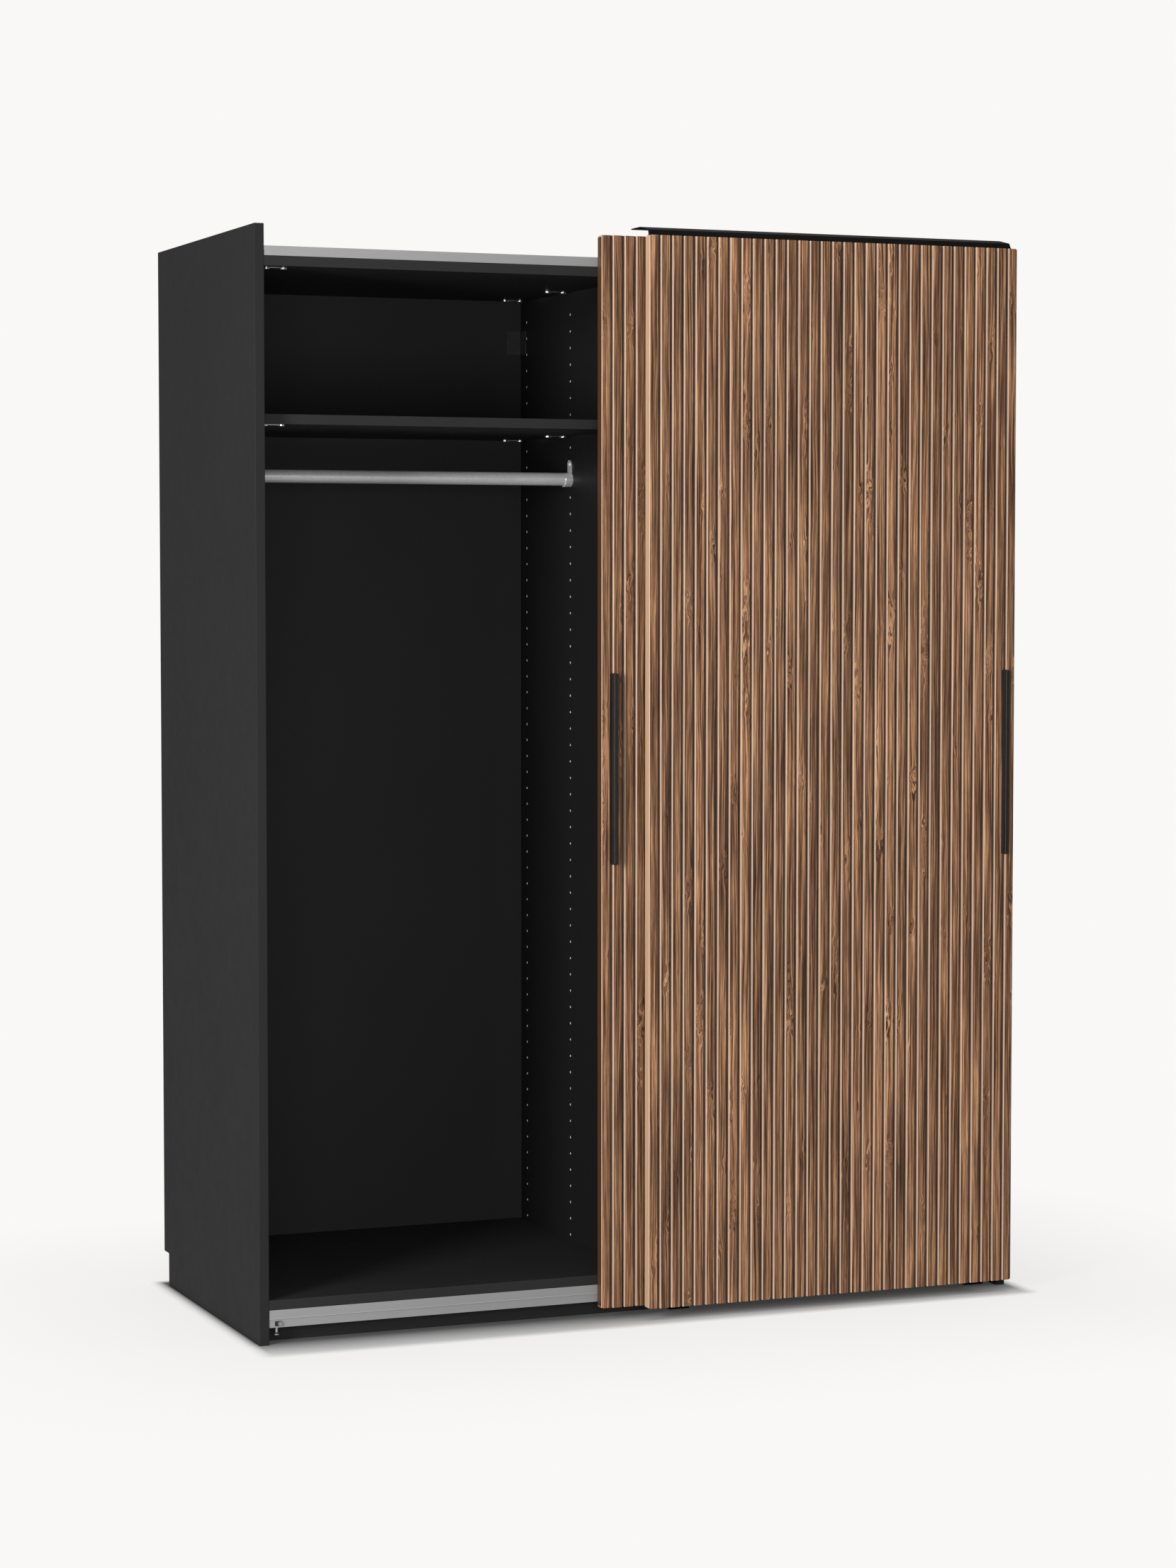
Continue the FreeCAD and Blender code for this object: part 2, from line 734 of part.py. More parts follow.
def make_top_rail_stops():
    """Rubber-faced blocks that end the travel of each door's carriages."""
    reach = "(carriage_offset + hanger_width / 2 + stop_play)"
    rear_closed = "(%s - door_travel - %s)" % (REAR_DOOR_CENTRE, reach)
    rear_open = "(%s + %s)" % (REAR_DOOR_CENTRE, reach)
    front_closed = "(%s + %s)" % (FRONT_DOOR_CENTRE, reach)
    front_open = "(%s - door_travel - %s)" % (FRONT_DOOR_CENTRE, reach)
    stops = []
    for face, way, track in ((rear_closed, -1, "track_front"), (rear_open, 1, "track_front"),
                             (front_closed, 1, "track_rear"), (front_open, -1, "track_rear")):
        near = spot(face, track + " - plate_to_wheel - stop_overlap", RAIL_FLOOR + " + rail_wall")
        side = Vector(way * num("stop_length"), num("stop_depth"), num("stop_height"))
        stops.append(box(near, near + side))
    group("top_rail_stops", stops)


def make_bottom_guide_rail():
    """Aluminium section below the bottom panel with two grooves open downwards."""
    wall = "guide_wall"
    deep = "guide_rail_depth"
    top = "guide_rail_height"
    roof = "guide_rail_height - guide_wall"
    step = "guide_rail_height - guide_band"
    middle = "2 * guide_wall + guide_groove"
    points = [("0", top), ("0", step), (wall, step), (wall, "0"), ("2 * guide_wall", "0"),
              ("2 * guide_wall", roof), (middle, roof), (middle, "0"), (middle + " + guide_wall", "0"),
              (middle + " + guide_wall", roof), (deep + " - guide_wall", roof), (deep + " - guide_wall", "0"),
              (deep, "0"), (deep, top)]
    length = "2 * (%s - rail_play)" % HALF_INSIDE
    body = extrusion("bottom_guide_rail", points, length, "-%s + rail_play" % HALF_INSIDE, "0", GUIDE_BOTTOM)
    rail_middle = "%s - rail_play" % HALF_INSIDE
    steps = range(-2, 3)
    centres = [("%s + %d * guide_screw_pitch" % (rail_middle, index), GUIDE_TRACK_FRONT) for index in steps]
    drill(body, "XY", centres, "rail_screw_room", wall, top)
    screws = []
    for index in steps:
        tip = spot("%d * guide_screw_pitch" % index, GUIDE_TRACK_FRONT, GUIDE_TOP)
        screws.append(pan_head_screw(tip, Vector(0, 0, -1), num(wall), num("rail_screw_radius")))
    group("bottom_rail_screws", screws)


def make_bottom_rail_stops():
    """At each end of the guide rail: a plate screwed to its front band and a pin below it."""
    forward = Vector(0, -1, 0)
    down = Vector(0, 0, -1)
    thin = num("guide_stop_sheet")
    plate_size = Vector(num("guide_stop_length"), -thin, num("guide_stop_height"))
    hole_radius = num("guide_stop_hole_radius")
    stem = num("guide_pin_radius")
    head = num("guide_pin_head")
    plates = []
    screws = []
    pins = []
    for way in (-1, 1):
        low = spot("%d * guide_stop_place" % way, "guide_wall", GUIDE_BOTTOM + " + guide_stop_rise")
        plate = box(low, low + Vector(way * plate_size.x, plate_size.y, plate_size.z))
        tip = Vector(way * num("guide_stop_screw_place"), low.y, low.z + plate_size.z / 2)
        plates.append(plate.cut(Part.makeCylinder(hole_radius, thin, tip, forward)))
        screws.append(pan_head_screw(tip, forward, thin, num("guide_stop_screw_radius")))
        top = spot("%d * guide_pin_place" % way, GUIDE_TRACK_FRONT, GUIDE_BOTTOM + " + guide_pin_start")
        neck = top + down * num("guide_pin_length")
        rim = neck + down * (head - stem)
        pin = Part.makeCylinder(stem, num("guide_pin_length"), top, down)
        pin = pin.fuse(Part.makeCone(stem, head, head - stem, neck, down))
        pins.append(pin.fuse(Part.makeCylinder(head, head / 3, rim, down)).removeSplitter())
    group("bottom_rail_stop_clamps", plates)
    group("bottom_rail_stop_screws", screws)
    group("bottom_rail_stop_pins", pins)


# ---------------------------------------------------------------- doors

def make_door_panel(door, left, back):
    """Board with upright ribs on its face: one groove, repeated, with every rib's arris rounded."""
    body = new_body(door + "_panel")
    sketch = new_sketch(body, "XY")
    rectangle(sketch, "0", "0", "door_width", "door_thickness")
    slab = pad(body, sketch, "door_top - door_bottom")
    round_edges(body, slab, lambda first, last: same(first, last, "x", "z"), "door_corner")
    groove = new_sketch(body, "XY")
    rectangle(groove, "rib_land", "0", "rib_groove", "rib_depth")
    cut = pocket(body, groove, "door_top - door_bottom", True)
    ribs = pattern(body, cut, "X", "(rib_land + rib_groove) * (rib_count - 2)", "rib_count - 1")
    tall = num("door_top - door_bottom - 2 * door_corner")

    def rib_arris(first, last):
        upright = same(first, last, "x", "y") and abs(first.z - last.z) > tall - TOUCH
        return upright and abs(first.y) < TOUCH

    soft = round_edges(body, ribs, rib_arris, "rib_round")
    body.Tip = soft
    place(body, left, "%s - door_thickness" % back, "door_bottom")
    return body


def handle_left(door, left):
    """The left face of the handle, near the door's outer edge."""
    if door == "rear_door":
        return "%s + handle_offset" % left
    return "%s + door_width - handle_offset - handle_width" % left


def handle_screw_x(door, left):
    """The handle's screws stand on the middle of its tongue."""
    if door == "rear_door":
        return "%s + handle_offset + tongue_width / 2" % left
    return "%s + door_width - handle_offset - tongue_width / 2" % left


def handle_screw_heights():
    return ["handle_bottom + handle_length * %s" % share for share in (0.12, 0.5, 0.88)]


def make_handle(door, left, back):
    """Upright bar with rounded front corners and a tongue seated in the first groove."""
    rear = door == "rear_door"
    body = new_body(door + "_handle")
    sketch = new_sketch(body, "XY")
    wide = "handle_width"
    reach = "handle_reach"
    tongue = "tongue_depth"
    if rear:
        foot = [("tongue_width", "0"), ("tongue_width", tongue), ("0", tongue)]
    else:
        foot = [(wide, tongue), (wide + " - tongue_width", tongue), (wide + " - tongue_width", "0")]
    bar = [("0", "-" + reach), (wide, "-" + reach), (wide, "0")]
    start = bar + foot if rear else bar[:2] + foot + [("0", "0")]
    outline(sketch, start)
    solid = pad(body, sketch, "handle_length")
    front = -num(reach)

    def front_end(first, last):
        return same(first, last, "y", "z") and abs(first.y - front) < TOUCH

    def front_arris(first, last):
        return same(first, last, "x", "y") and abs(first.y - front) < TOUCH

    rounded = round_edges(body, solid, front_end, "handle_round")
    round_edges(body, rounded, front_arris, "handle_arris")
    tongue_middle = "tongue_width / 2" if rear else "handle_width - tongue_width / 2"
    centres = [(tongue_middle, "%s - handle_bottom" % height) for height in handle_screw_heights()]
    drill(body, "XZ", centres, "handle_screw_radius", "tongue_depth + handle_bore", "-tongue_depth", True)
    place(body, handle_left(door, left), "%s - door_thickness" % back, "handle_bottom")


def make_handle_screws(door, left, back):
    """Screws through the door from its rear face into the handle."""
    screws = []
    length = num("door_thickness - handle_screw_sink + handle_screw_bite")
    radius = num("handle_screw_radius")
    for height in handle_screw_heights():
        tip = spot(handle_screw_x(door, left), "%s - door_thickness - handle_screw_bite" % back, height)
        screws.append(countersunk_screw(tip, Vector(0, 1, 0), length, radius))
    group(door + "_handle_screws", screws)


def drill_door(body, door, left, back):
    """Clearance holes for the handle's screws, with countersinks in the rear face."""
    centres = [("%s - (%s)" % (handle_screw_x(door, left), left), "%s - door_bottom" % height)
               for height in handle_screw_heights()]
    drill(body, "XZ", centres, "handle_screw_room", "door_thickness + 1", "0", False)
    sink_radius = "2 * handle_screw_radius + handle_sink_play"
    drill(body, "XZ", centres, sink_radius, "handle_sink_depth", "-door_thickness", True)


def wheel_places(centre):
    """Wheel centres along a door, from left to right."""
    return ["%s + %d * carriage_offset + %d * wheel_offset" % (centre, side, step)
            for side in (-1, 1) for step in (-1, 1)]


def revolved(label, points, x, y, z):
    """A turned piece whose axis runs along Y; points are radius and depth."""
    body = new_body(label)
    sketch = new_sketch(body, "XY")
    outline(sketch, points)
    feature = body.newObject("PartDesign::Revolution", label + "_turned")
    feature.Profile = sketch
    feature.ReferenceAxis = (sketch, ["V_Axis"])
    feature.Angle = 360
    doc.recompute()
    place(body, x, y, z)
    return body


def make_wheels(door, centre, track):
    """Grooved wheels that straddle their track."""
    half = "wheel_half"
    tread = "wheel_tread"
    flange = "wheel_flange"
    rim = flange + " - wheel_rim"
    points = [("wheel_bore", "-" + half), (rim, "-" + half), (flange, "-wheel_half + wheel_rim"),
              (flange, "-tread_half - wheel_slope"), (tread, "-tread_half"), (tread, "tread_half"),
              (flange, "tread_half + wheel_slope"), (flange, "wheel_half - wheel_rim"), (rim, half),
              ("wheel_bore", half)]
    for index, x in enumerate(wheel_places(centre), start=1):
        revolved("%s_wheel_%d" % (door, index), points, x, track, WHEEL_HEIGHT)


def make_axles(door, centre, track):
    """Riveted axles with a shoulder before the wheel and a head behind it."""
    radius = num("axle_radius")
    shoulder = num("axle_shoulder")
    plate = num("hanger_sheet")
    spacer = num("plate_to_wheel - hanger_sheet - wheel_half - wheel_gap")
    journal = num("2 * wheel_half + 2 * wheel_gap")
    head = num("axle_head")
    back = Vector(0, 1, 0)
    axles = []
    for x in wheel_places(centre):
        start = spot(x, track + " - plate_to_wheel", WHEEL_HEIGHT)
        shape = Part.makeCylinder(radius, plate + spacer + journal + head, start, back)
        shape = shape.fuse(Part.makeCylinder(shoulder, spacer, start + back * plate, back))
        end = start + back * (plate + spacer + journal)
        shape = shape.fuse(Part.makeCylinder(shoulder, head, end, back))
        axles.append(shape.removeSplitter())
    group(door + "_axles", axles)


def wheel_holes(shape, centre, track, side):
    """Drills the wheel plate of one hanger for its two axles."""
    for step in (-1, 1):
        x = "%s + %d * carriage_offset + %d * wheel_offset" % (centre, side, step)
        start = spot(x, track + " - plate_to_wheel - 1", WHEEL_HEIGHT)
        hole = Part.makeCylinder(num("axle_radius"), num("hanger_sheet") + 2, start, Vector(0, 1, 0))
        shape = shape.cut(hole)
    return shape


def rear_hanger_screws(centre):
    """Places of the screws that hold the rear door's hangers."""
    return ["%s + %d * carriage_offset + %d * hanger_screw_pitch" % (centre, side, step)
            for side in (-1, 1) for step in (-1, 0, 1)]


def make_rear_hangers(centre, back):
    """Bent sheet from the rear door's back, over the rail's lip, down beside the wheels."""
    plates = []
    for side in (-1, 1):
        left = "%s + %d * carriage_offset - hanger_width / 2" % (centre, side)
        right = left + " + hanger_width"
        track = "track_front"
        plate_face = track + " - plate_to_wheel"
        plate_back = plate_face + " + hanger_sheet"
        leg_low = spot(left, back, HANGER_TOP + " - hanger_leg")
        leg = box(leg_low, spot(right, back + " + hanger_sheet", HANGER_TOP))
        bridge = box(spot(left, back, HANGER_TOP), spot(right, plate_back, HANGER_TOP + " - hanger_sheet"))
        plate = box(spot(left, plate_face, "plate_bottom"), spot(right, plate_back, HANGER_TOP))
        shape = leg.fuse(bridge).fuse(plate).removeSplitter()
        plates.append(wheel_holes(shape, centre, track, side))
    screws = []
    for x in rear_hanger_screws(centre):
        tip = spot(x, "%s + hanger_sheet" % back, HANGER_TOP + " - 0.75 * hanger_leg")
        screws.append(screw_head(tip, Vector(0, 1, 0), num("hanger_screw_radius")))
    group("rear_door_hangers", plates)
    group("rear_door_hanger_screws", screws)


def cover_points(back):
    """Outline of the folded sheet above the front door: outer side, then inner side back again.

    Each fold has its depth, its height above the door, and the way to its inner corner,
    counted in sheet thicknesses.
    """
    folds = (("0", "-cover_leg", 1, 0), ("0", "2", 1, -0.32), ("7", "12", 0.59, -0.9),
             ("45", "cover_rise", 0.1, -1), ("cover_reach", "cover_rise", 0, -1))
    outer = [("%s + %s" % (back, u), "door_top + %s" % v) for u, v, _, _ in folds]
    inner = [("%s + %s + %s * cover_sheet" % (back, u, du), "door_top + %s + %s * cover_sheet" % (v, dv))
             for u, v, du, dv in reversed(folds)]
    return outer + inner


def make_cover_profile(left, back):
    """Folded sheet that carries the front door's hangers over the rear door."""
    length = "door_width - cover_start - cover_end"
    extrusion("front_door_cover_profile", cover_points(back), length, left + " + cover_start")
    screws = []
    for step in range(-3, 4):
        x = "%s + door_width / 2 + %d * cover_screw_pitch" % (left, step)
        start = spot(x, back + " + cover_sheet", "door_top - cover_leg / 2")
        screws.append(screw_head(start, Vector(0, 1, 0), num("cover_screw_radius")))
    group("front_door_cover_screws", screws)


def make_front_hangers(centre, back):
    """Angle plates below the cover profile, down beside the wheels of the rear track."""
    track = "track_rear"
    top = COVER_TOP + " - cover_sheet"
    plate_face = track + " - plate_to_wheel"
    plates = []
    for side in (-1, 1):
        left = "%s + %d * carriage_offset - hanger_width / 2" % (centre, side)
        right = left + " + hanger_width"
        flange = box(spot(left, back + " + hanger_flange_start", top),
                     spot(right, plate_face + " + hanger_sheet", top + " - hanger_sheet"))
        plate = box(spot(left, plate_face, "plate_bottom"), spot(right, plate_face + " + hanger_sheet", top))
        shape = flange.fuse(plate).removeSplitter()
        plates.append(wheel_holes(shape, centre, track, side))
    group("front_door_hangers", plates)


def make_guides(door, centre, back, track, height):
    """Angle arms from the door's foot to the guide rail, each with an upright slider."""
    arms = []
    sliders = []
    screws = []
    up = Vector(0, 0, 1)
    behind = Vector(0, 1, 0)
    screw_radius = num("guide_screw_radius")
    for side in (-1, 1):
        middle = "%s + %d * guide_offset" % (centre, side)
        left = middle + " - guide_width / 2"
        right = middle + " + guide_width / 2"
        leg = box(spot(left, back, height), spot(right, back + " + guide_sheet", "guide_leg_top"))
        arm_top = height + " + guide_arm_sheet"
        arm = box(spot(left, back, height), spot(right, track + " + guide_arm_reach", arm_top))
        arms.append(leg.fuse(arm).removeSplitter())
        foot = spot(middle, track, arm_top)
        neck = spot(middle, track, GUIDE_BOTTOM + " + slider_clear")
        stem = Part.makeCylinder(num("slider_stem"), neck.z - foot.z, foot, up)
        tall = num("slider_height")
        barrel = Part.makeCylinder(num("slider_radius"), tall, neck, up)
        crown = Part.makeCone(num("slider_radius"), num("slider_radius - 1"), 1, neck + up * tall, up)
        sliders.append(stem.fuse(barrel).fuse(crown))
        for step in (-1, 1):
            x = "%s + %d * guide_leg_pitch" % (middle, step)
            tip = spot(x, back + " + guide_sheet", "guide_leg_screw")
            head = Part.makeCone(2 * screw_radius, 1.5 * screw_radius, num("guide_screw_head"), tip, behind)
            screws.append(head)
    group(door + "_guide_arms", arms)
    group(door + "_guide_sliders", sliders)
    group(door + "_guide_screws", screws)


def make_door(door, left, centre, back, track, guide_track, guide_height):
    panel = make_door_panel(door, left, back)
    drill_door(panel, door, left, back)
    make_handle(door, left, back)
    make_handle_screws(door, left, back)
    make_wheels(door, centre, track)
    make_axles(door, centre, track)
    make_guides(door, centre, back, guide_track, guide_height)


def check_and_write():
    """Stops on any failed object; otherwise writes one STEP file for each sub-part."""
    doc.recompute()
    for obj in doc.Objects:
        if "Invalid" in obj.State or "Error" in obj.State:
            raise RuntimeError("%s failed: %s" % (obj.Label, obj.State))
    for obj in subparts:
        if obj.Shape.isNull() or not obj.Shape.isValid():
            raise RuntimeError("%s has no valid shape" % obj.Label)
    os.makedirs("parts", exist_ok=True)
    for obj in subparts:
        obj.Shape.exportStep("parts/%s.step" % obj.Label)
    print("%d sub-parts written" % len(subparts))


fill_sheet()
make_side_panel("left")
make_side_panel("right")
make_centre_partition()
make_top_and_bottom_panel()
make_back_panels()
make_plinths()
make_centre_foot()
make_shelves()
make_connectors()
make_clothes_rails()
make_rail_brackets()
make_dowels()
make_corner_brackets()
make_top_running_rail()
make_top_rail_stops()
make_bottom_guide_rail()
make_bottom_rail_stops()
make_door("rear_door", REAR_DOOR_LEFT, REAR_DOOR_CENTRE, REAR_DOOR_BACK,
          "track_front", GUIDE_TRACK_FRONT, "rear_guide_height")
make_rear_hangers(REAR_DOOR_CENTRE, REAR_DOOR_BACK)
make_door("front_door", FRONT_DOOR_LEFT, FRONT_DOOR_CENTRE, FRONT_DOOR_BACK,
          "track_rear", GUIDE_TRACK_REAR, "front_guide_height")
make_cover_profile(FRONT_DOOR_LEFT, FRONT_DOOR_BACK)
make_front_hangers(FRONT_DOOR_CENTRE, FRONT_DOOR_BACK)
check_and_write()
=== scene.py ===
# Looks of the sliding-door wardrobe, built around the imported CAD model.
# Every CAD node keeps its shape and gets a procedural material here.
# Lengths are in metres, in the CAD model's frame: +Z up, doors towards -Y.

import math

import bpy
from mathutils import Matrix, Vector


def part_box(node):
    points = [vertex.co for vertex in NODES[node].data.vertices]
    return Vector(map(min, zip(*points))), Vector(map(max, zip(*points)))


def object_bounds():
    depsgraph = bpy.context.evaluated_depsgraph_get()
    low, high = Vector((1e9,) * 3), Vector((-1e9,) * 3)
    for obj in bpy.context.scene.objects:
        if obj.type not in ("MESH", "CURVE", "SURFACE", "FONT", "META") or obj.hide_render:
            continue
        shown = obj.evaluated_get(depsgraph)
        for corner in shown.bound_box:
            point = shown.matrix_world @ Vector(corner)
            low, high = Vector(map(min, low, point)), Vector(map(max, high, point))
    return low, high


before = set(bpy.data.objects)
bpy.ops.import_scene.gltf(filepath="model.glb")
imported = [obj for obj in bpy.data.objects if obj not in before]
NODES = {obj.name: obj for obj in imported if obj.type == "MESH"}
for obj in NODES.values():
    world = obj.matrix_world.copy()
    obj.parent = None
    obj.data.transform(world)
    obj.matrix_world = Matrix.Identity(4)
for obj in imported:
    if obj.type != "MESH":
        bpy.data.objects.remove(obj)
cad_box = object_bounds()

MM = 0.001

# Driving sizes that the CAD model has too.
RIB_LAND = 17.6 * MM
RIB_GROOVE = 5.6 * MM
RIB_PITCH = RIB_LAND + RIB_GROOVE
RIB_DEPTH = 5.0 * MM
HOLE_PITCH = 32 * MM
FIRST_HOLE = 91 * MM
HOLE_ROWS = (37 * MM, 356 * MM, 588 * MM)
HOLE_RADIUS = 2.5 * MM
GUIDE_BAND = 16.5 * MM

# Depth of the side panels' front edges, and the slack for telling one face from another.
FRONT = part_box("left_side_panel")[0].y
SKIN = 0.1 * MM

# Colours that more than one place needs, or that need a name.
BACKGROUND = (0.947, 0.939, 0.922)
FLOOR_PAINT = (0.66, 0.655, 0.643, 1)
# Painted highlight on the ribs' left arrises.
PAINTED_ARRIS_HIGHLIGHT = (0.62, 0.46, 0.35, 1)
# Painted shade for the groove floors between the ribs.
PAINTED_GROOVE_SHADE = (0.020, 0.013, 0.010, 1)
OPEN_PORE = (0.045, 0.026, 0.018, 1)
# Painted highlight along the bottom rail's step.
PAINTED_RAIL_GLINT = (0.42, 0.42, 0.42, 1)

# Camera: where it stands, its angle above straight down, its turn from the front, and its lens.
CAMERA_PLACE = (-2.6337, FRONT - 6.1558, 1.3731)
CAMERA_TILT = 90 - 3.246
CAMERA_TURN = -22.207
CAMERA_LENS = 82.95


# ---------------------------------------------------------------- node helpers

class Shader:
    """A node material under construction, with short names for the nodes it uses."""

    def __init__(self, name, **sockets):
        self.material = bpy.data.materials.new(name)
        self.material.use_nodes = True
        self.tree = self.material.node_tree
        self.tree.nodes.clear()
        self.bsdf = self.add("ShaderNodeBsdfPrincipled")
        self.output = self.add("ShaderNodeOutputMaterial")
        self.tree.links.new(self.bsdf.outputs[0], self.output.inputs["Surface"])
        for socket, value in sockets.items():
            self.bsdf.inputs[socket.replace("_", " ")].default_value = value

    def add(self, kind, **settings):
        node = self.tree.nodes.new(kind)
        for key, value in settings.items():
            setattr(node, key, value)
        return node

    def feed(self, socket, value):
        """Links an output to a socket, or sets the socket to a number, vector or colour."""
        if isinstance(value, bpy.types.NodeSocket):
            self.tree.links.new(value, socket)
        else:
            socket.default_value = value

    def math(self, operation, a, b=0.0, c=0.0):
        node = self.add("ShaderNodeMath", operation=operation)
        for socket, value in zip(node.inputs, (a, b, c)):
            self.feed(socket, value)
        return node.outputs[0]

    def product(self, *factors):
        total = factors[0]
        for factor in factors[1:]:
            total = self.math("MULTIPLY", total, factor)
        return total

    def between(self, value, low, high):
        """1 where the value lies between two limits, otherwise 0."""
        above = self.math("GREATER_THAN", value, low)
        return self.product(above, self.math("LESS_THAN", value, high))

    def place(self):
        """Coordinates fixed to the piece, in metres."""
        return self.add("ShaderNodeTexCoord").outputs["Object"]

    def split(self, vector):
        node = self.add("ShaderNodeSeparateXYZ")
        self.feed(node.inputs[0], vector)
        return node.outputs

    def join(self, x, y, z):
        node = self.add("ShaderNodeCombineXYZ")
        for socket, value in zip(node.inputs, (x, y, z)):
            self.feed(socket, value)
        return node.outputs[0]

    def scaled(self, vector, factors):
        node = self.add("ShaderNodeVectorMath", operation="MULTIPLY")
        self.feed(node.inputs[0], vector)
        node.inputs[1].default_value = factors
        return node.outputs[0]

    def noise(self, vector, scale, detail=2.0, roughness=0.5):
        node = self.add("ShaderNodeTexNoise")
        self.feed(node.inputs["Vector"], vector)
        node.inputs["Scale"].default_value = scale
        node.inputs["Detail"].default_value = detail
        node.inputs["Roughness"].default_value = roughness
        return node.outputs["Fac"]

    def lots(self, number):
        """Three random numbers from 0 to 1 that belong to a whole number."""
        node = self.add("ShaderNodeTexWhiteNoise", noise_dimensions="1D")
        self.feed(node.inputs["W"], number)
        return self.split(node.outputs["Color"])

    def ramp(self, value, stops):
        """Grey or colour by position; stops are (position, colour)."""
        node = self.add("ShaderNodeValToRGB")
        self.feed(node.inputs[0], value)
        elements = node.color_ramp.elements
        while len(elements) < len(stops):
            elements.new(0.5)
        for element, (position, colour) in zip(elements, stops):
            element.position = position
            element.color = (*colour[:3], 1)
        return node.outputs["Color"]

    def spread(self, value, low, high, to_low=0.0, to_high=1.0):
        """Maps low..high to to_low..to_high, clamped."""
        node = self.add("ShaderNodeMapRange")
        self.feed(node.inputs["Value"], value)
        node.inputs["From Min"].default_value = low
        node.inputs["From Max"].default_value = high
        node.inputs["To Min"].default_value = to_low
        node.inputs["To Max"].default_value = to_high
        return node.outputs["Result"]

    def mix(self, factor, a, b, blend="MIX"):
        node = self.add("ShaderNodeMix", data_type="RGBA", blend_type=blend)
        self.feed(node.inputs["Factor"], factor)
        self.feed(node.inputs["A"], a)
        self.feed(node.inputs["B"], b)
        return node.outputs["Result"]

    def bump(self, height, distance, strength=1.0):
        node = self.add("ShaderNodeBump")
        self.feed(node.inputs["Height"], height)
        node.inputs["Distance"].default_value = distance
        node.inputs["Strength"].default_value = strength
        self.feed(self.bsdf.inputs["Normal"], node.outputs[0])

    def set(self, socket, value):
        self.feed(self.bsdf.inputs[socket], value)


def grey(level):
    return (level, level, level, 1)


def tinted(colour, factor):
    return tuple(factor * part for part in colour)


# ---------------------------------------------------------------- boards

def hole_mask(s, place):
    """1 near the axis of a shelf hole, whatever the depth."""
    _, y, z = s.split(place)
    turns = s.math("DIVIDE", s.math("SUBTRACT", z, FIRST_HOLE), HOLE_PITCH)
    off_z = s.product(s.math("SUBTRACT", turns, s.math("ROUND", turns)), HOLE_PITCH)
    off_z = s.math("POWER", off_z, 2.0)
    total = None
    for row in HOLE_ROWS:
        off_y = s.math("POWER", s.math("SUBTRACT", y, FRONT + row), 2.0)
        distance = s.math("SQRT", s.math("ADD", off_y, off_z))
        near = s.math("LESS_THAN", distance, HOLE_RADIUS + SKIN)
        total = near if total is None else s.math("MAXIMUM", total, near)
    return total


def laminate(name, level, holes=None):
    """Dark laminate with a fine pearl; raw chipboard shows inside the shelf holes."""
    s = Shader(name, Specular_IOR_Level=0.12)
    place = s.place()
    dark = tinted((1.0, 1.0, 1.02), level * 0.96)
    light = tinted((1.0, 1.0, 1.02), level * 1.04)
    colour = s.ramp(s.noise(place, 3.0, 4.0), [(0.35, dark), (0.65, light)])
    if holes is not None:
        x, _, _ = s.split(place)
        mask = s.product(s.between(x, *holes), hole_mask(s, place))
        chips = s.noise(place, 900.0, 2.0)
        raw = s.ramp(chips, [(0.35, (0.52, 0.38, 0.25)), (0.65, (0.85, 0.70, 0.52))])
        colour = s.mix(mask, colour, raw)
    s.set("Base Color", colour)
    s.set("Roughness", s.spread(s.noise(place, 35.0, 4.0), 0.3, 0.7, 0.50, 0.56))
    s.bump(s.noise(place, 1400.0, 2.0), 0.02 * MM, 0.35)
    return s.material


# ---------------------------------------------------------------- doors

def rib_places(s, x, y, low, high):
    """Rib number, distance from the rib's left wall, depth, and 0 on the flat rear face."""
    ahead = 0.3 * MM
    across = s.math("DIVIDE", s.math("SUBTRACT", x, low.x - ahead), RIB_PITCH)
    not_rear = s.math("LESS_THAN", y, high.y - SKIN)
    rib = s.product(s.math("FLOOR", across), not_rear)
    in_rib = s.product(s.math("FRACT", across), RIB_PITCH)
    depth = s.math("SUBTRACT", y, low.y)
    return rib, in_rib, depth, not_rear


def grain(s, x, y, z, lots):
    """Figure of one rib: coordinates swayed along the grain and swirled about the odd knot."""
    own_x = s.math("MULTIPLY_ADD", lots[0], 7.0, x)
    own_z = s.math("MULTIPLY_ADD", lots[1], 11.0, z)
    slow = s.join(s.product(own_x, 2.0), y, s.product(own_z, 3.0))
    sway = s.product(s.math("SUBTRACT", s.noise(slow, 1.0, 2.0), 0.5), 0.014)
    knotty = s.spread(s.noise(s.join(own_x, 0.0, s.product(own_z, 0.4)), 17.0, 1.0), 0.59, 0.70)
    curl = s.noise(s.join(own_x, y, s.product(own_z, 0.25)), 130.0, 1.0)
    swirl = s.product(s.math("SUBTRACT", curl, 0.5), knotty, 0.035)
    moved = s.math("ADD", own_x, s.math("ADD", sway, swirl))
    return moved, own_z, knotty


def veneer(s, moved, y, own_z, lots, shade):
    """Streaked walnut in the rib's own tone, and the streaks and pores that made it."""
    streaks = s.noise(s.join(moved, y, s.product(own_z, 0.012)), 360.0, 4.0, 0.66)
    wood = s.ramp(streaks, [(0.37, (0.041, 0.017, 0.008)), (0.46, (0.158, 0.071, 0.034)),
                            (0.54, (0.298, 0.145, 0.072)), (0.64, (0.550, 0.298, 0.152))])
    cloud = s.noise(s.join(s.product(own_z, 0.5), lots[2], own_z), 4.0, 2.0)
    tone = s.product(s.spread(lots[2], 0.0, 1.0, 0.82, 1.16), s.spread(cloud, 0.3, 0.7, 0.82, 1.18), shade)
    wood = s.mix(1.0, wood, s.join(tone, tone, tone), "MULTIPLY")
    pores = s.noise(s.join(moved, y, s.product(own_z, 0.02)), 1200.0, 2.0, 0.6)
    wood = s.mix(s.product(s.spread(pores, 0.54, 0.64), 0.6), wood, OPEN_PORE)
    return wood, streaks, pores


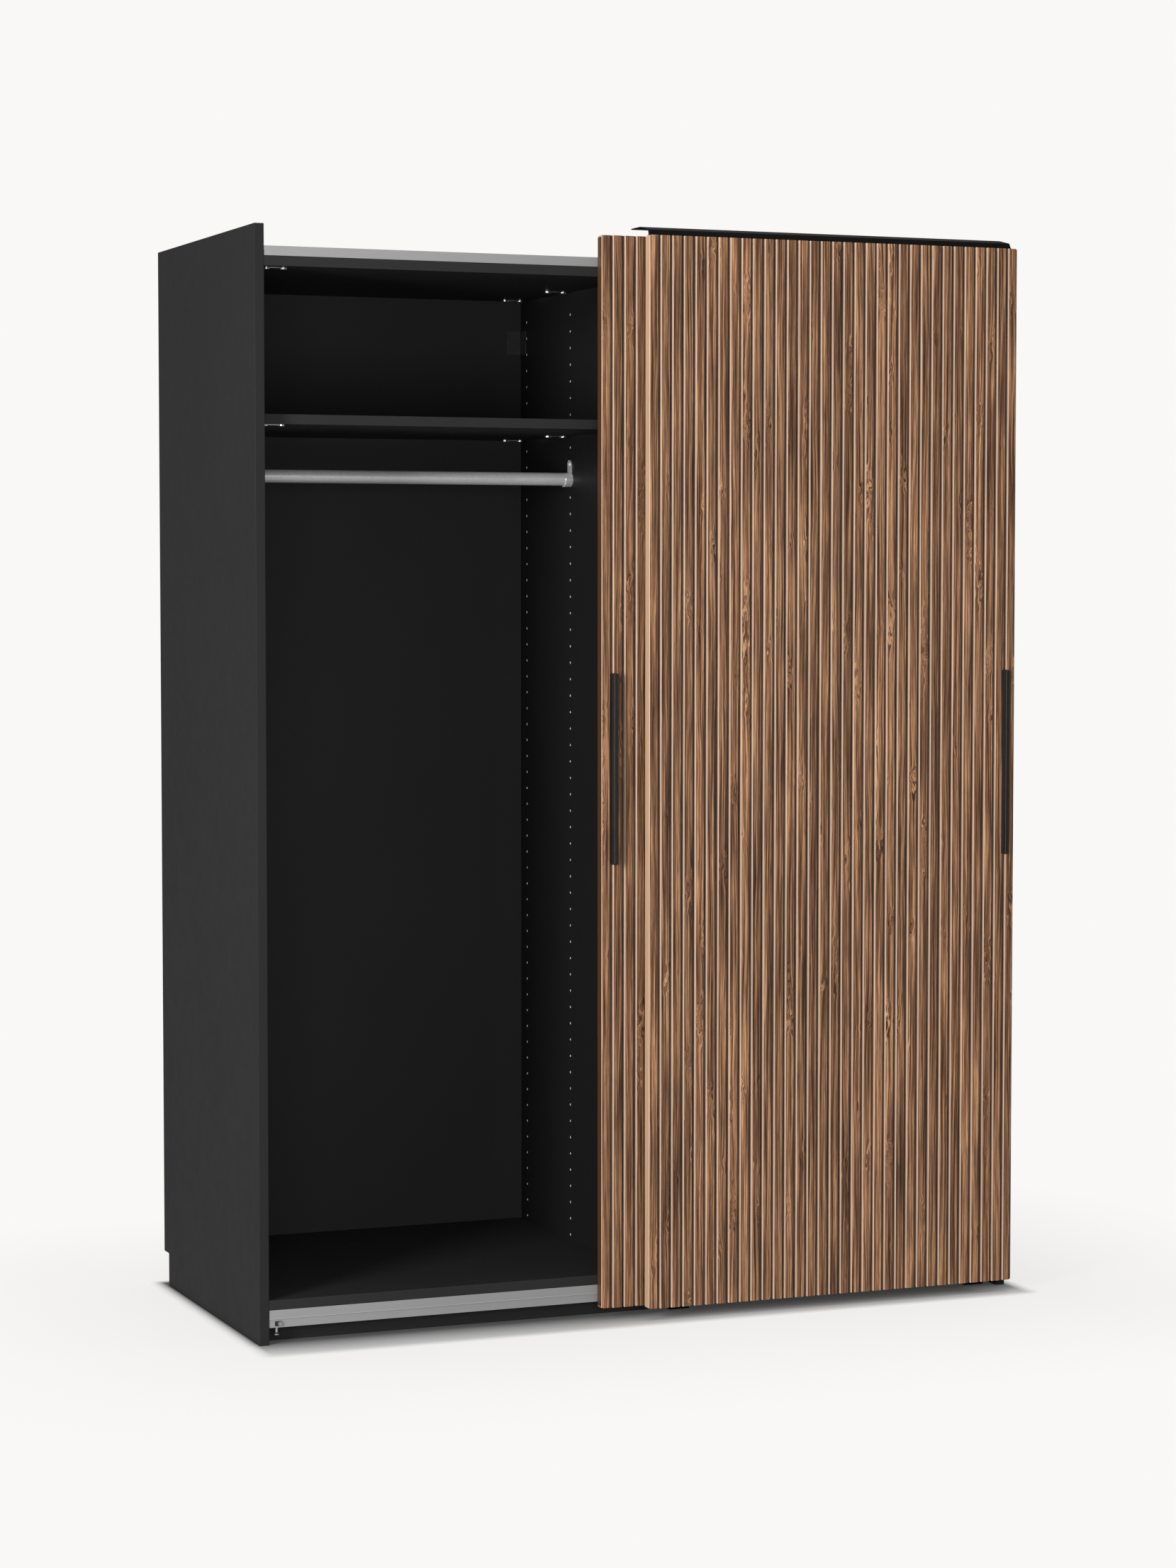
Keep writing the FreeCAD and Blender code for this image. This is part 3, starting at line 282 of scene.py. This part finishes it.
def rib_masks(s, in_rib, depth, not_rear):
    """How far a place lies on a rib's left arris, for a painted highlight, and how far on a groove's floor,
    for painted shade.
    """
    painted_highlight_arris = s.product(s.spread(in_rib, 0.9 * MM, 2.0 * MM, 1.0, 0.0), not_rear)
    in_groove = s.between(in_rib, RIB_LAND + 0.6 * MM, RIB_PITCH)
    above_floor = s.math("LESS_THAN", depth, RIB_DEPTH + SKIN)
    floor = s.product(in_groove, s.spread(depth, 2.5 * MM, 4.8 * MM), above_floor)
    return painted_highlight_arris, floor


def walnut(door, seed, shade, side_tone_and_shade):
    """Walnut ribs: upright grain of their own, painted shade on the groove floors, and a painted highlight
    on each rib's left rounded arris.

    Shade scales the whole face, and the side colour multiplies the colour of the door's left side, which on
    the rear door is painted shade.
    """
    low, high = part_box(door + "_panel")
    s = Shader(door + "_walnut", Specular_IOR_Level=0.32)
    x, y, z = s.split(s.place())
    rib, in_rib, depth, not_rear = rib_places(s, x, y, low, high)
    lots = s.lots(s.math("ADD", rib, seed))
    moved, own_z, knotty = grain(s, x, y, z, lots)
    wood, streaks, pores = veneer(s, moved, y, own_z, lots, shade)
    painted_highlight_arris, floor = rib_masks(s, in_rib, depth, not_rear)
    # Painted highlight on each rib's left arris.
    wood = s.mix(s.product(painted_highlight_arris, 0.8), wood, PAINTED_ARRIS_HIGHLIGHT)
    # Painted shade on the groove floors.
    wood = s.mix(s.product(floor, 0.75), wood, PAINTED_GROOVE_SHADE)
    side = s.product(s.math("LESS_THAN", x, low.x + SKIN), not_rear)
    # The left side face takes the side colour: painted shade on the rear door, a tint on the front door.
    wood = s.mix(side, wood, s.mix(1.0, wood, side_tone_and_shade, "MULTIPLY"))
    s.set("Base Color", wood)
    s.set("Roughness", s.spread(pores, 0.4, 0.65, 0.34, 0.50))
    relief = s.math("MULTIPLY_ADD", s.product(streaks, knotty), 2.0, s.product(pores, -1.0))
    s.bump(relief, 0.12 * MM, 0.5)
    return s.material


# ---------------------------------------------------------------- metal and plastic

def brushed(name, colour, roughness, streaks=2600.0, metallic=0.35, painted_highlight_arris=None):
    """Metal with fine streaks along the rail, and a painted highlight: a bright line at the height of an
    arris.
    """
    s = Shader(name, Metallic=metallic)
    place = s.place()
    lines = s.noise(s.scaled(place, (0.01, 1.0, 1.0)), streaks, 2.0)
    cloud = s.noise(s.scaled(place, (0.3, 1.0, 1.0)), 6.0, 2.0)
    shade = s.ramp(cloud, [(0.3, tinted(colour, 0.94)), (0.7, tinted(colour, 1.06))])
    if painted_highlight_arris is not None:
        _, _, z = s.split(place)
        # Painted highlight: a bright line just above the arris.
        shade = s.mix(s.between(z, painted_highlight_arris, painted_highlight_arris + 1.0 * MM), shade, PAINTED_RAIL_GLINT)
    s.set("Base Color", shade)
    s.set("Roughness", s.spread(lines, 0.3, 0.7, roughness - 0.05, roughness + 0.07))
    s.bump(lines, 0.006 * MM, 0.3)
    return s.material


def plated(name, colour, roughness, metallic=1.0):
    """Plated fitting with faint handling marks."""
    s = Shader(name, Metallic=metallic)
    place = s.place()
    marks = s.noise(place, 160.0, 4.0, 0.6)
    s.set("Base Color", s.ramp(marks, [(0.3, tinted(colour, 0.95)), (0.7, tinted(colour, 1.04))]))
    s.set("Roughness", s.spread(marks, 0.35, 0.7, roughness, roughness + 0.1))
    s.bump(s.noise(place, 900.0, 1.0), 0.004 * MM, 0.2)
    return s.material


def powder_coat(name, level, roughness, specular=0.4):
    """Matt black coating with the fine orange peel of powder."""
    s = Shader(name, Specular_IOR_Level=specular)
    place = s.place()
    cloud = s.noise(place, 60.0, 3.0)
    s.set("Base Color", s.ramp(cloud, [(0.3, grey(level * 0.9)), (0.7, grey(level * 1.1))]))
    s.set("Roughness", s.spread(cloud, 0.3, 0.7, roughness - 0.04, roughness + 0.05))
    s.bump(s.noise(place, 2200.0, 2.0), 0.02 * MM, 0.4)
    return s.material


def moulded(name, colour, roughness):
    """Moulded plastic or rubber with a fine eroded texture."""
    s = Shader(name, Specular_IOR_Level=0.4)
    place = s.place()
    tint = s.noise(place, 80.0, 2.0)
    s.set("Base Color", s.ramp(tint, [(0.3, tinted(colour, 0.9)), (0.7, tinted(colour, 1.1))]))
    s.set("Roughness", s.spread(tint, 0.3, 0.7, roughness - 0.05, roughness + 0.05))
    s.bump(s.noise(place, 1600.0, 2.0), 0.02 * MM, 0.3)
    return s.material


def beech(name):
    """Plain dowel wood, its grain along X."""
    s = Shader(name, Roughness=0.6)
    lines = s.noise(s.scaled(s.place(), (0.05, 1.0, 1.0)), 900.0, 3.0)
    s.set("Base Color", s.ramp(lines, [(0.3, (0.45, 0.29, 0.16)), (0.7, (0.68, 0.49, 0.30))]))
    s.bump(lines, 0.03 * MM, 0.4)
    return s.material


# ---------------------------------------------------------------- dressing the CAD nodes

def dress(material, *names):
    """Gives CAD nodes their material."""
    for name in names:
        slots = NODES[name].data.materials
        for index in range(len(slots)):
            slots[index] = material


def dress_cabinet():
    """Laminated boards; the drilled ones show raw chipboard between their faces. The side panels and the
    partition get darker copies of the same laminate, as painted shade.
    """
    low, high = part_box("left_side_panel")
    # Painted shade: the side panels take a darker copy of the board laminate.
    dress(laminate("laminate_left_side_panel", 0.0165, (low.x + 2 * MM, high.x - SKIN)), "left_side_panel")
    low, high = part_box("right_side_panel")
    dress(laminate("laminate_right_side_panel", 0.0165, (low.x + SKIN, high.x - 2 * MM)), "right_side_panel")
    low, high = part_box("centre_partition")
    # Painted shade: the partition takes a much darker copy of the board laminate.
    dress(laminate("laminate_partition", 0.0105, (low.x + SKIN, high.x - SKIN)), "centre_partition")
    dress(laminate("laminate_boards", 0.021), "top_panel", "bottom_panel", "left_shelf", "right_shelf",
          "front_plinth", "rear_plinth")
    dress(laminate("laminate_back", 0.020), "left_back_panel", "right_back_panel")


def dress_rails():
    """Running and guide rails, and the clothes rails with their brackets."""
    dress(brushed("anodised_top_rail", (0.34, 0.34, 0.34), 0.42), "top_running_rail")
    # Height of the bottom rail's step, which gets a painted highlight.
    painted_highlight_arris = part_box("bottom_guide_rail")[1].z - GUIDE_BAND
    dress(brushed("anodised_bottom_rail", (0.31, 0.31, 0.31), 0.42, painted_highlight_arris=painted_highlight_arris), "bottom_guide_rail")
    dress(plated("satin_tube", (0.72, 0.72, 0.72), 0.3, 0.45), "left_clothes_rail", "right_clothes_rail")
    dress(plated("nickel_brackets", (0.85, 0.84, 0.83), 0.2, 0.6), "clothes_rail_brackets",
          "clothes_rail_screws")


def dress_fittings():
    """Metal fittings, black coated parts, plastic and rubber pieces, and the dowels."""
    dress(plated("nickel", (0.80, 0.78, 0.75), 0.16), "top_panel_connectors", "left_shelf_connectors",
          "right_shelf_connectors")
    dress(plated("steel_stops", (0.48, 0.48, 0.48), 0.3), "bottom_rail_stop_screws", "bottom_rail_stop_pins")
    dress(brushed("zinc_plate", (0.50, 0.51, 0.53), 0.4, 900.0), "rear_door_hangers", "front_door_hangers",
          "rear_door_axles", "front_door_axles")
    dress(plated("zinc_screws", (0.52, 0.52, 0.53), 0.3), "top_rail_screws", "bottom_rail_screws",
          "rear_door_hanger_screws", "rear_door_handle_screws", "front_door_handle_screws",
          "front_door_cover_screws")
    dress(powder_coat("black_sheet", 0.002, 0.5, 0.03), "front_door_cover_profile", "rear_door_guide_arms",
          "front_door_guide_arms", "rear_door_guide_screws", "front_door_guide_screws")
    dress(powder_coat("dark_brackets", 0.017, 0.45), "back_corner_brackets", "corner_bracket_screws")
    dress(powder_coat("black_handle", 0.008, 0.42), "rear_door_handle", "front_door_handle")
    wheels = [name for name in NODES if "_wheel_" in name]
    dress(moulded("acetal_wheel", (0.42, 0.42, 0.40), 0.4), *wheels)
    dress(moulded("black_nylon", (0.012, 0.012, 0.012), 0.5), "rear_door_guide_sliders",
          "front_door_guide_sliders", "centre_foot_pad", "centre_foot_sleeve", "bottom_rail_stop_clamps")
    dress(moulded("black_rubber", (0.015, 0.015, 0.015), 0.7), "top_rail_stops")
    dress(beech("beech_dowels"), "panel_dowels")


def dress_doors():
    """The rear door is a little darker; its left side is much darker, as painted shade."""
    painted_shade_side = (0.14, 0.09, 0.06, 1)
    pale_side = (0.97, 0.88, 0.75, 1)
    dress(walnut("rear_door", 3.0, 0.85, painted_shade_side), "rear_door_panel")
    dress(walnut("front_door", 103.0, 0.97, pale_side), "front_door_panel")


# ---------------------------------------------------------------- stage, light, camera

def distance_outside(s, x, y):
    """Distance of a place on the floor from the object's footprint, 0 inside it."""
    half_width = cad_box[1][0]
    half_depth = cad_box[1][1]
    total = 0.0
    for value, limit in ((x, half_width), (y, half_depth)):
        beyond = s.math("MAXIMUM", s.math("SUBTRACT", s.math("ABSOLUTE", value), limit), 0.0)
        total = s.math("ADD", s.math("POWER", beyond, 2.0), total)
    return s.math("SQRT", total)


def floor_material():
    """Pale paint with a painted shadow below the object, darkest deeper under it, that turns into a plain
    glow away from it.
    """
    s = Shader("floor", Roughness=0.9, Specular_IOR_Level=0.0)
    x, y, _ = s.split(s.place())
    away = distance_outside(s, x, y)
    behind_front = s.math("SUBTRACT", y, cad_box[0][1])
    # Painted shadow: the floor's colour darkens from the front of the footprint inwards.
    painted_floor_shadow = s.spread(behind_front, 0.0, 0.10, 0.62, 0.08)
    s.set("Base Color", s.mix(s.spread(away, 0.0, 0.02), s.join(painted_floor_shadow, painted_floor_shadow, painted_floor_shadow), FLOOR_PAINT))
    near_share = s.spread(away, 0.0, 0.03, 0.04, 0.80)
    glow_share = s.math("ADD", near_share, s.spread(away, 0.03, 0.7, 0.0, 0.2))
    glow = s.add("ShaderNodeEmission")
    glow.inputs["Color"].default_value = (*BACKGROUND, 1)
    seen = s.add("ShaderNodeLightPath").outputs["Is Camera Ray"]
    s.feed(glow.inputs["Strength"], s.spread(seen, 0.0, 1.0, 0.35, 1.0))
    blend = s.add("ShaderNodeMixShader")
    s.feed(blend.inputs[0], glow_share)
    s.feed(blend.inputs[1], s.bsdf.outputs[0])
    s.feed(blend.inputs[2], glow.outputs[0])
    s.feed(s.output.inputs["Surface"], blend.outputs[0])
    return s.material


def make_floor():
    """A flat floor that reaches far past the view."""
    mesh = bpy.data.meshes.new("floor")
    reach = 40.0
    corners = [(-reach, -reach, 0), (reach, -reach, 0), (reach, reach, 0), (-reach, reach, 0)]
    mesh.from_pydata(corners, [], [(0, 1, 2, 3)])
    mesh.materials.append(floor_material())
    floor = bpy.data.objects.new("floor", mesh)
    bpy.context.scene.collection.objects.link(floor)


def make_world():
    """Even pale surroundings: one strength seen by the camera, a lower one that lights."""
    world = bpy.data.worlds.new("studio")
    bpy.context.scene.world = world
    world.use_nodes = True
    tree = world.node_tree
    tree.nodes.clear()
    output = tree.nodes.new("ShaderNodeOutputWorld")
    seen = tree.nodes.new("ShaderNodeBackground")
    lit = tree.nodes.new("ShaderNodeBackground")
    seen.inputs["Color"].default_value = (*BACKGROUND, 1)
    lit.inputs["Color"].default_value = (1.0, 1.0, 1.0, 1)
    lit.inputs["Strength"].default_value = 0.22
    path = tree.nodes.new("ShaderNodeLightPath")
    blend = tree.nodes.new("ShaderNodeMixShader")
    tree.links.new(path.outputs["Is Camera Ray"], blend.inputs[0])
    tree.links.new(lit.outputs[0], blend.inputs[1])
    tree.links.new(seen.outputs[0], blend.inputs[2])
    tree.links.new(blend.outputs[0], output.inputs["Surface"])


def soft_box(name, place, target, width, height, power):
    """A rectangular studio light aimed at a point."""
    data = bpy.data.lights.new(name, "AREA")
    data.shape = "RECTANGLE"
    data.size = width
    data.size_y = height
    data.energy = power
    light = bpy.data.objects.new(name, data)
    light.location = place
    light.rotation_euler = (Vector(target) - Vector(place)).to_track_quat("-Z", "Y").to_euler()
    bpy.context.scene.collection.objects.link(light)


def make_lights():
    """A light from the left rakes the ribs, one fills from the front, and two soften the rest."""
    middle = (0, 0, 1.0)
    soft_box("key_left", (-4.2, -2.7, 1.7), middle, 1.2, 2.4, 225)
    soft_box("fill_front", (-1.6, -4.8, 1.1), middle, 2.4, 1.6, 90)
    soft_box("rim_right", (4.5, -1.0, 2.6), middle, 1.5, 3.0, 40)
    soft_box("top", (0, 0.4, 4.6), (0, 0, 0), 5.0, 4.0, 130)


def make_camera():
    """A long lens 1.37 m above the floor, turned 22 degrees from the front."""
    data = bpy.data.cameras.new("camera")
    data.sensor_width = 36.0
    data.lens = CAMERA_LENS
    data.clip_end = 200.0
    camera = bpy.data.objects.new("camera", data)
    camera.location = CAMERA_PLACE
    camera.rotation_euler = (math.radians(CAMERA_TILT), 0, math.radians(CAMERA_TURN))
    bpy.context.scene.collection.objects.link(camera)
    bpy.context.scene.camera = camera


bpy.context.scene.view_settings.view_transform = "Standard"
make_camera()
make_world()
make_floor()
make_lights()
dress_cabinet()
dress_rails()
dress_fittings()
dress_doors()
